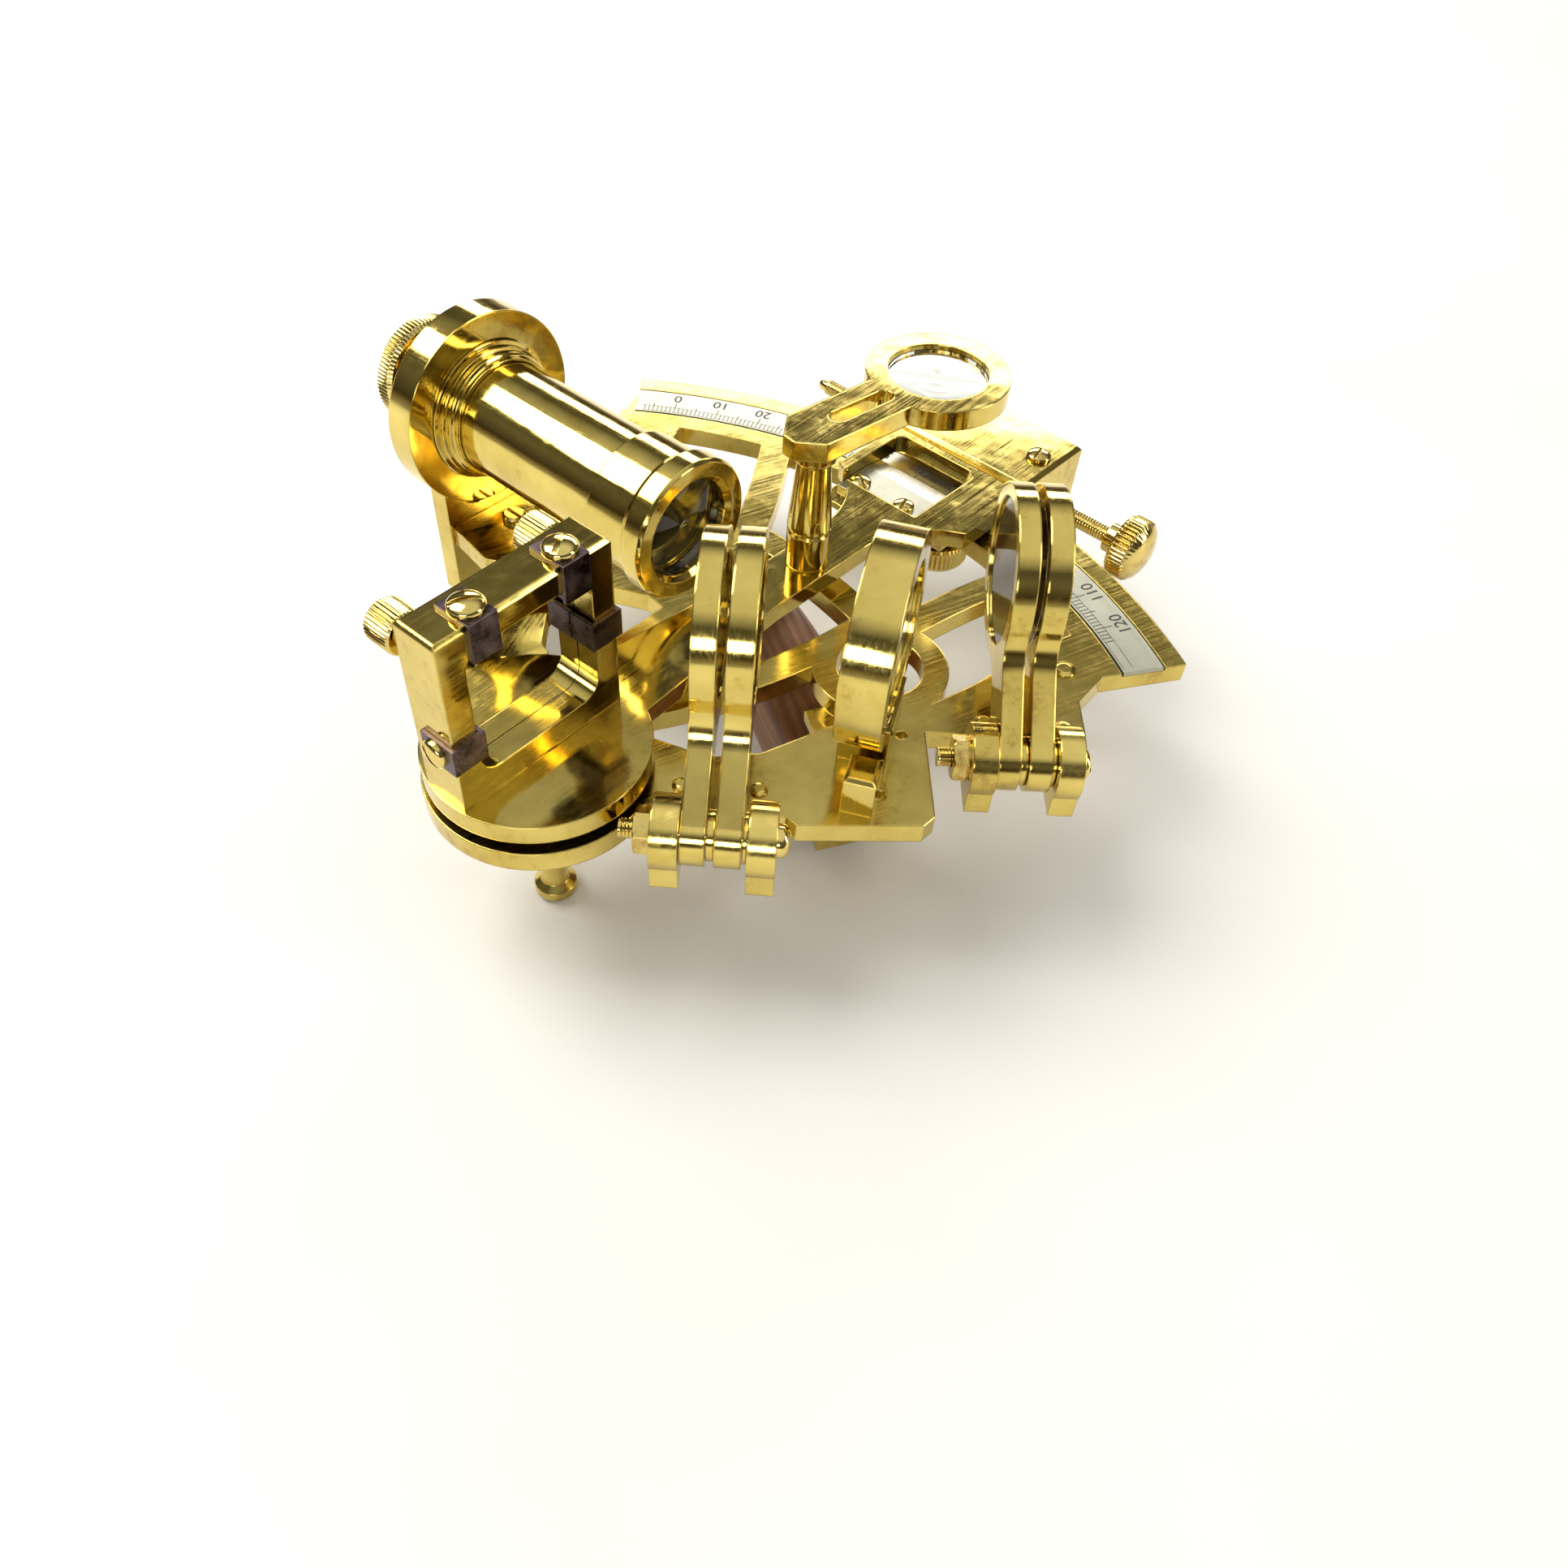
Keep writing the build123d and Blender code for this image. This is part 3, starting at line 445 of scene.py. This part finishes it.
def spun(profile, steps=72, wobble=None):
    """Vertices and faces of a profile of (radius, height) points turned about z."""
    verts, faces = [], []
    count = len(profile)
    for step in range(steps):
        angle = 2 * math.pi * step / steps
        for radius, height in profile:
            if wobble is not None:
                radius = wobble(radius, height, angle)
            verts.append((radius * math.cos(angle), radius * math.sin(angle), height))
    for step in range(steps):
        following = (step + 1) % steps
        for row in range(count - 1):
            faces.append((step * count + row, following * count + row,
                          following * count + row + 1, step * count + row + 1))
    return verts, faces


def closed(profile):
    """Profile with its first point repeated, for a ring's section."""
    return profile + [profile[0]]


def rows(profile, top, bottom, count):
    """Profile with extra points on the wall between two heights."""
    refined = []
    for (r0, h0), (r1, h1) in zip(profile, profile[1:]):
        refined.append((r0, h0))
        if abs(h0 - bottom) < 1e-6 and abs(h1 - top) < 1e-6:
            refined += [(r0 + (r1 - r0) * k / count, h0 + (h1 - h0) * k / count)
                        for k in range(1, count)]
    return refined + [profile[-1]]


def knurl(teeth, depth, low, high, fade=0.5):
    """Straight flutes cut into the wall between two heights."""
    def shape(radius, height, angle):
        reach = min((height - low) / fade, (high - height) / fade, 1.0)
        if reach <= 0 or radius < 0.5:
            return radius
        cut = abs(((angle * teeth / (2 * math.pi)) % 1.0) - 0.5) * 2
        return radius - depth * reach * cut ** 1.5
    return shape


def threaded(radius, pitch, depth, low, high, steps=28):
    """Screw thread with a sharp crest between two heights."""
    verts, faces = [], []
    per_turn = 4
    count = int((high - low) / pitch * per_turn) + 1
    for step in range(steps):
        angle = 2 * math.pi * step / steps
        for row in range(count):
            height = low + row * pitch / per_turn
            phase = (height / pitch - step / steps) % 1.0
            end = min((height - low) / pitch, (high - height) / pitch, 1.0)
            groove = abs(phase - 0.5) * 2
            reach = radius - depth * groove * max(end, 0.15)
            verts.append((reach * math.cos(angle), reach * math.sin(angle), height))
    for step in range(steps):
        following = (step + 1) % steps
        for row in range(count - 1):
            faces.append((step * count + row, following * count + row,
                          following * count + row + 1, step * count + row + 1))
    bottom, top = len(verts), len(verts) + 1
    verts += [(0, 0, low), (0, 0, low + (count - 1) * pitch / per_turn)]
    for step in range(steps):
        following = (step + 1) % steps
        faces.append((bottom, following * count, step * count))
        faces.append((top, step * count + count - 1, following * count + count - 1))
    return verts, faces


def dome_profile(radius, height, wall=0.35, rings=7):
    """Section of a domed head from its rim to its crown."""
    rise = height * (1 - wall)
    points = [(radius, 0), (radius, height * wall)]
    for k in range(1, rings + 1):
        turn = math.pi / 2 * k / rings
        points.append((radius * math.cos(turn), height * wall + rise * math.sin(turn)))
    return points


def slotted(radius, height, slot=0.7, depth=0.6, steps=48):
    """Domed screw head with a straight slot, as vertices and faces."""
    profile = [(0, 0)] + dome_profile(radius, height)
    mesh = bpy.data.meshes.new("head")
    verts, faces = spun(profile, steps)
    mesh.from_pydata(verts, [], faces)
    weld(mesh, 1e-5)
    cutter = bpy.data.meshes.new("cutter")
    reach, low, high = radius + 1, height - depth, height + 1
    half = slot / 2
    corners = [(x, y, z) for x in (-reach, reach) for y in (-half, half) for z in (low, high)]
    sides = [(0, 1, 3, 2), (4, 6, 7, 5), (0, 4, 5, 1), (2, 3, 7, 6), (0, 2, 6, 4), (1, 5, 7, 3)]
    cutter.from_pydata(corners, [], sides)
    head_object = bpy.data.objects.new("head", mesh)
    cutter_object = bpy.data.objects.new("cutter", cutter)
    for item in (head_object, cutter_object):
        bpy.context.scene.collection.objects.link(item)
    boolean = head_object.modifiers.new("slot", "BOOLEAN")
    boolean.operation = "DIFFERENCE"
    boolean.object = cutter_object
    result = head_object.evaluated_get(bpy.context.evaluated_depsgraph_get()).to_mesh()
    verts = [tuple(v.co) for v in result.vertices]
    faces = [tuple(p.vertices) for p in result.polygons]
    for item in (head_object, cutter_object):
        bpy.data.objects.remove(item)
    return verts, faces


def joined(*parts):
    """One set of vertices and faces from several placed sets."""
    verts, faces = [], []
    for (part_verts, part_faces), place in parts:
        base = len(verts)
        flat = place.copy()
        flat.translation = place.translation / MM
        verts += [tuple(flat @ Vector(v)) for v in part_verts]
        faces += [tuple(index + base for index in face) for face in part_faces]
    return verts, faces


HERE = Matrix.Identity(4)


def raised(height):
    """Placement moved up its own axis by a height in millimetres."""
    return Matrix.Translation((0, 0, height * MM))


# ---- threaded and knurled pieces ----
def tangent_screw():
    """Fine-thread drive screw with a domed, straight-knurled head."""
    head = rows([
        (0, -36.0), (1.6, -35.95), (3.2, -35.6), (4.6, -34.95), (5.3, -34.2), (5.6, -33.9),
        (5.6, -31.1), (5.2, -30.6), (2.7, -30.5), (2.6, -28.1), (1.4, -28.0),
    ], -31.1, -33.9, 6)
    place = seat(arm_point(TANGENT_U, 0, TANGENT_Z), heading(ARM_ANGLE + 90))
    parts = joined(
        (spun(head, 240, knurl(40, 0.42, -34.3, -30.8)), HERE),
        (threaded(THREAD_R, 0.55, THREAD_DEPTH, -28.2, 37.4), HERE),
        (spun([(0, 37.0), (1.1, 37.0), (1.1, 38.6), (0.8, 39.4), (0, 39.6)], 32), HERE),
    )
    screw = piece("tangent_drive", parts, place, SCREW_BRASS, "tangent_screw_body")
    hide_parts("tangent_screw")


def clamp_screw():
    """Knurled clamp knob under the limb."""
    head = rows([
        (0, 0), (4.6, 0.0), (5.4, 0.3), (5.9, 0.9), (5.9, 4.3), (5.4, 4.9), (3.1, 5.0), (2.9, 7.0),
        (1.4, 7.0), (1.4, 11.3), (0, 11.4),
    ], 4.3, 0.9, 6)
    place = seat(arm_point(CLAMP_U, 0, LIMB_BOTTOM - 11.6), UP)
    knob = piece("clamp_knob", spun(head, 240, knurl(40, 0.42, 0.6, 4.6)), place, SCREW_BRASS,
                 "clamp_screw_body")
    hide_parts("clamp_screw")


def mirror_knobs():
    """Two small knurled adjusters behind the index mirror."""
    head = rows([
        (0, -3.9), (0.85, -3.9), (0.85, 0.3), (1.8, 0.3), (1.8, 1.0), (2.8, 1.05), (3.15, 1.4),
        (3.15, 5.4), (2.8, 5.8), (1.4, 5.95), (0, 6.0),
    ], 5.4, 1.4, 6)
    for side, x in (("left", -13.0), ("right", 11.0)):
        place = seat(mirror_point(x, 4.5, KNOB_Z), heading(MIRROR_ANGLE + 90))
        knob = piece(f"mirror_adjuster_{side}", spun(head, 192, knurl(32, 0.25, 1.1, 5.7)), place,
                     SCREW_BRASS, f"mirror_knob_{side}_body")
        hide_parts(f"mirror_knob_{side}")


def eyepiece():
    """Eyepiece cap with a fine straight knurl round its rim."""
    section = closed(rows([
        (6.2, 58.8), (8.6, 58.8), (9.3, 59.4), (9.3, 61.7), (8.7, 62.25), (7.6, 62.4), (6.4, 62.3),
        (5.0, 61.7), (5.0, 61.2), (6.2, 61.2),
    ], 61.7, 59.4, 4))
    cap = piece("eyepiece_cap", spun(section, 504, knurl(84, 0.3, 59.1, 62.0)),
                seat(SCOPE_FRONT, heading(SCOPE_ANGLE)), SCREW_BRASS, "eyepiece_body")
    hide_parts("eyepiece_ring")


def hinge_bolts():
    """Threaded shade bolts with domed slotted heads, and their nuts."""
    for name, length, turned in (("index", 17.0, 25), ("horizon", 16.0, 70)):
        joint = JOINTS[f"{name}_shade_1_hinge"]
        origin = Vector(joint["pos_m"]) / MM
        place = seat(origin, joint["axis"])
        head = Matrix.Rotation(math.radians(turned), 4, "Z")
        head.translation = (0, 0, length * MM)
        parts = joined(
            (threaded(THREAD_R, 0.5, THREAD_DEPTH, -4.55, 0.2), HERE),
            (spun([(1.45, 0), (1.45, length)], 32), HERE),
            (slotted(2.4, 1.95), head),
        )
        bolt = piece(f"{name}_hinge_bolt", parts, place, SCREW_BRASS, "frame_body")
        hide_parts(f"{name}_shade_bolt")
        nut = piece(f"{name}_hinge_nut", hex_nut(2.95, 2.4, 1.5),
                    place @ raised(-2.4), SCREW_BRASS, "frame_body")
        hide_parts(f"{name}_shade_nut")


def post():
    """Magnifier post: plain foot, engraved line and a slit collet under the arm."""
    foot = [(0, 0), (3.35, 0), (3.5, 0.2), (3.5, 6.3), (3.3, 6.5), (3.2, 6.6), (3.2, 6.9),
            (3.35, 7.0), (3.5, 7.15), (3.5, 7.6)]
    collet = [(3.5, 7.6), (3.35, 9.8), (3.1, 13.0), (2.8, 16.8), (2.6, POST_TOP - 2.5),
              (2.7, POST_TOP - 2.3), (3.3, POST_TOP - 2.2), (3.4, POST_TOP - 2.0),
              (3.4, POST_TOP - 0.3), (3.25, POST_TOP - 0.12), (0, POST_TOP - 0.1)]
    pin = [(0, POST_TOP - 0.2), (1.6, POST_TOP - 0.2), (1.6, POST_TOP + 1.9), (0, POST_TOP + 1.9)]
    slits = 4

    def slit(radius, height, angle):
        turned = (angle - math.radians(18)) % (2 * math.pi / slits)
        gap = min(turned, 2 * math.pi / slits - turned) * radius
        if radius > 1 and 9.7 < height < POST_TOP - 2.4 and gap < 0.33:
            return radius - 1.0
        return radius

    cone = []
    for (r0, h0), (r1, h1) in zip(collet, collet[1:]):
        cone += [(r0 + (r1 - r0) * k / 6, h0 + (h1 - h0) * k / 6) for k in range(6)]
    parts = joined((spun(foot + cone + [collet[-1]], 240, slit), HERE),
                   (spun(pin, 32), HERE))
    stand = piece("magnifier_stand", parts, seat(arm_point(POST_U, 0, ARM_TOP), UP), UPRIGHT_BRASS,
                  "index_arm_body")
    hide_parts("magnifier_post")


def hex_nut(flat, height, hole):
    """Hexagon nut with chamfered corners, bored through."""
    sides = 72
    cone = flat + 0.12

    def reach(angle):
        return flat / math.cos((angle % (math.pi / 3)) - math.pi / 6)

    def shape(radius, level, angle):
        if radius <= hole + 0.01:
            return radius
        limit = cone if level in (0, height) else cone + 0.32 if level in (0.2, height - 0.2) else 99
        return min(reach(angle), limit)

    section = closed([(hole, 0), (flat, 0), (flat, 0.2), (flat, 0.45), (flat, height - 0.45),
                      (flat, height - 0.2), (flat, height), (hole, height)])
    return spun(section, sides, shape)


def screws():
    """Domed slotted heads over the plain ones of the frame."""
    sets = {
        "mirror_clip_screws": [
            (mirror_point(-8.2, -0.6, CLIP_TOP), UP, 2.45, 1.4, 20),
            (mirror_point(6.9, -0.6, CLIP_TOP), UP, 2.45, 1.4, 75),
            (mirror_point(-16.0, 0, 9.85), -heading(MIRROR_ANGLE), 2.1, 1.3, 40),
            (mirror_point(14.0, 0, 14.85), heading(MIRROR_ANGLE), 2.1, 1.3, 10),
        ],
        "arm_screws": [
            (arm_point(81.7, -0.3, VERNIER_TOP), UP, 1.9, 1.0, 60),
            (arm_point(81.7, 9.4, VERNIER_TOP), UP, 1.9, 1.0, 100),
            (arm_point(107.3, -10.3, 35.0), UP, 2.2, 1.2, 55),
        ],
    }
    for name, heads in sets.items():
        parts = []
        for origin, axis, radius, height, turned in heads:
            place = seat(origin, axis) @ Matrix.Rotation(math.radians(turned), 4, "Z")
            parts.append((slotted(radius, height, 0.65, 0.5), place))
        heads_piece = piece(f"{name}_domed", joined(*parts), HERE, SCREW_BRASS,
                            "index_arm_body")
        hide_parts(name)


# ---- telescope ----
def scope_lining():
    """Blackened inside of the telescope, with a black disc across the bore as painted shade deep in the
    tube.
    """
    section = closed([(8.25, 6.9), (8.25, 38.0), (7.75, 38.0), (7.75, 6.9)])
    piece("scope_lining", spun(section, 96), seat(SCOPE_FRONT, heading(SCOPE_ANGLE)), BLACK,
          "frame_body")
    # A solid black disc across the bore: painted shade for the darkness deep inside the tube.
    stop = [(0, 36.0), (7.7, 36.0), (7.7, 36.6), (0, 36.6)]
    piece("scope_painted_shade_disc", spun(stop, 64), seat(SCOPE_FRONT, heading(SCOPE_ANGLE)), BLACK,
          "frame_body")


# ---- scale ----
def mark(angle, inner, outer, width, z, thick=0.04):
    """Thin bar lying radially at an angle."""
    out, side = heading(angle), heading(angle + 90)
    corners = []
    for level in (z - thick, z + 0.015):
        for radius, sign in ((inner, -1), (inner, 1), (outer, 1), (outer, -1)):
            spot = out * radius + side * sign * width / 2
            corners.append((spot.x, spot.y, level))
    return (corners, BOX_FACES), HERE


def arc_line(inner, outer, margin, z):
    """Short bars end to end along the limb, as one curved line."""
    span = LIMB_ENDS[1] - LIMB_ENDS[0] - 2 * margin
    width = outer * math.radians(span / ARC_STEPS) * 1.01
    middles = [LIMB_ENDS[0] + margin + span * (step + 0.5) / ARC_STEPS for step in range(ARC_STEPS)]
    return [mark(middle, inner, outer, width, z) for middle in middles]


def scale_marks():
    """Degree graduations from zero to past one hundred and twenty."""
    parts = []
    for degree in range(-8, 125):
        angle = SCALE_ZERO - degree / 2
        if not LIMB_ENDS[0] + 0.6 < angle < LIMB_ENDS[1] - 0.6:
            continue
        length = 3.1 if degree % 10 == 0 else 2.4 if degree % 5 == 0 else 1.5
        parts.append(mark(angle, SCALE_R_IN + 0.35, SCALE_R_IN + 0.35 + length, 0.17, SCALE_TOP))
    for radius in (SCALE_R_IN + 0.3, SCALE_R_IN + 1.9):
        parts += arc_line(radius - LINE_HALF, radius + LINE_HALF, 0.6, SCALE_TOP)
    piece("scale_marks", joined(*parts), HERE, INK, "frame_body")


def groove_lines():
    """Dark lines at the bottom of the narrow gaps each side of the scale strip."""
    parts = []
    for inner, outer in GROOVE_GAPS:
        parts += arc_line(inner, outer, 0.1, DECK_Z - 0.2)
    piece("groove_lines", joined(*parts), HERE, INK, "frame_body")


def numeral(name, text, place, size, body):
    """Small engraved number."""
    curve = bpy.data.curves.new(name, "FONT")
    curve.body = text
    curve.size = size * MM
    curve.align_x = "CENTER"
    curve.align_y = "CENTER"
    curve.extrude = 0.012 * MM
    curve.offset = 0.03 * MM
    source = bpy.data.objects.new(name, curve)
    bpy.context.scene.collection.objects.link(source)
    bpy.context.view_layer.update()
    mesh = bpy.data.meshes.new_from_object(
        source.evaluated_get(bpy.context.evaluated_depsgraph_get()))
    bpy.data.objects.remove(source)
    mesh.transform(place)
    mesh.materials.clear()
    mesh.materials.append(INK)
    obj = bpy.data.objects.new(name, mesh)
    bpy.context.scene.collection.objects.link(obj)
    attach(obj, body)


def scale_numerals():
    """Tens of degrees, their tops towards the pivot."""
    for tens in range(0, 13):
        angle = SCALE_ZERO - tens * 5
        spot = heading(angle) * (SCALE_R_IN + 5.1)
        place = seat((spot.x, spot.y, SCALE_TOP + 0.005), UP, heading(angle + 90))
        numeral(f"scale_numeral_{tens * 10}", str(tens * 10), place, NUMERAL_SIZE, "frame_body")


def vernier_marks():
    """Fine lines on the sloping edge of the vernier plate, the longer ones numbered."""
    across = heading(ARM_ANGLE + 90)
    verts, faces = [], []
    for step in range(-10, 11):
        length = 2.0 if step % 5 == 0 else 1.3
        base = len(verts)
        for below in (0.05, -0.02):
            for u, side in ((90.35 - length, -1), (90.35 - length, 1), (90.35, 1), (90.35, -1)):
                surface = VERNIER_TOP - (u - VERNIER_BEVEL) / 6.0
                spot = Vector(arm_point(u, VERNIER_MIDDLE + step * 0.5, surface - below))
                verts.append(tuple(spot + across * side * 0.05))
        faces += [tuple(base + corner for corner in face) for face in BOX_FACES]
    piece("vernier_marks", (verts, faces), HERE, INK, "index_arm_body")


# ---- stage ----
def stage():
    """Pale floor just below the feet."""
    verts = [(x * FLOOR_HALF, y * FLOOR_HALF, FLOOR_Z) for x, y in ((-1, -1), (1, -1), (1, 1), (-1, 1))]
    mesh = bpy.data.meshes.new("floor")
    mesh.from_pydata([Vector(v) * MM for v in verts], [], [(0, 1, 2, 3)])
    mesh.materials.append(floor_paper("floor_paper"))
    floor = bpy.data.objects.new("floor", mesh)
    bpy.context.scene.collection.objects.link(floor)


def soft_box(name, position, aim, size, power, tint=(1, 1, 1)):
    """Rectangular area light pointed at a place, in metres."""
    data = bpy.data.lights.new(name, "AREA")
    data.shape = "RECTANGLE"
    data.size, data.size_y = size
    data.energy = power
    data.color = tint
    light = bpy.data.objects.new(name, data)
    light.location = position
    light.rotation_euler = (Vector(aim) - Vector(position)).to_track_quat("-Z", "Y").to_euler()
    bpy.context.scene.collection.objects.link(light)


def lights():
    """Soft boxes round a dim room, so that the brass has both bright and dark reflections."""
    middle = (0.04, 0.04, 0.03)
    soft_box("key", (-0.40, 0.20, 0.70), middle, (0.45, 0.55), 7.8, (1.0, 0.97, 0.90))
    soft_box("back", (0.20, 0.85, 0.40), middle, (0.8, 0.22), 4.2, (1.0, 0.98, 0.94))
    soft_box("right", (0.70, -0.10, 0.30), middle, (0.16, 0.5), 2.6, (1.0, 0.93, 0.82))
    soft_box("front", (-0.15, -0.65, 0.30), middle, (0.35, 0.16), 1.6)
    world = bpy.data.worlds.new("studio")
    world.use_nodes = True
    tree = world.node_tree
    background = tree.nodes["Background"]
    coords = tree.nodes.new("ShaderNodeTexCoord")
    split = tree.nodes.new("ShaderNodeSeparateXYZ")
    ramp = tree.nodes.new("ShaderNodeValToRGB")
    tree.links.new(coords.outputs["Generated"], split.inputs[0])
    tree.links.new(split.outputs["Z"], ramp.inputs[0])
    stops = ((0.0, (0.30, 0.24, 0.17)), (0.10, (0.05, 0.04, 0.03)), (0.40, (0.16, 0.15, 0.13)),
             (0.62, (0.10, 0.095, 0.085)), (0.85, (0.85, 0.84, 0.80)))
    while len(ramp.color_ramp.elements) < len(stops):
        ramp.color_ramp.elements.new(0.5)
    for element, (position, colour) in zip(ramp.color_ramp.elements, stops):
        element.position = position
        element.color = (*colour, 1)
    tree.links.new(ramp.outputs[0], background.inputs[0])
    background.inputs[1].default_value = 1.0
    bpy.context.scene.world = world
    bpy.context.scene.view_settings.view_transform = "Standard"


def camera():
    """Hand-held view from above the pivot's front, a little rolled."""
    data = bpy.data.cameras.new("camera")
    data.lens = 29.52
    data.sensor_width = 36.0
    data.clip_start = 0.01
    eye = Vector((22.86, -124.25, DECK_Z + 136.78)) * MM
    aim = Vector((34.59, -3.61, DECK_Z)) * MM
    roll = math.radians(4.52)
    facing = (aim - eye).to_track_quat("-Z", "Y").to_matrix().to_4x4()
    place = Matrix.Translation(eye) @ facing @ Matrix.Rotation(roll, 4, "Z")
    view = bpy.data.objects.new("camera", data)
    view.matrix_world = place
    bpy.context.scene.collection.objects.link(view)
    bpy.context.scene.camera = view


tangent_screw()
clamp_screw()
mirror_knobs()
eyepiece()
hinge_bolts()
post()
screws()
scope_lining()
scale_marks()
groove_lines()
scale_numerals()
vernier_marks()
stage()
lights()
camera()
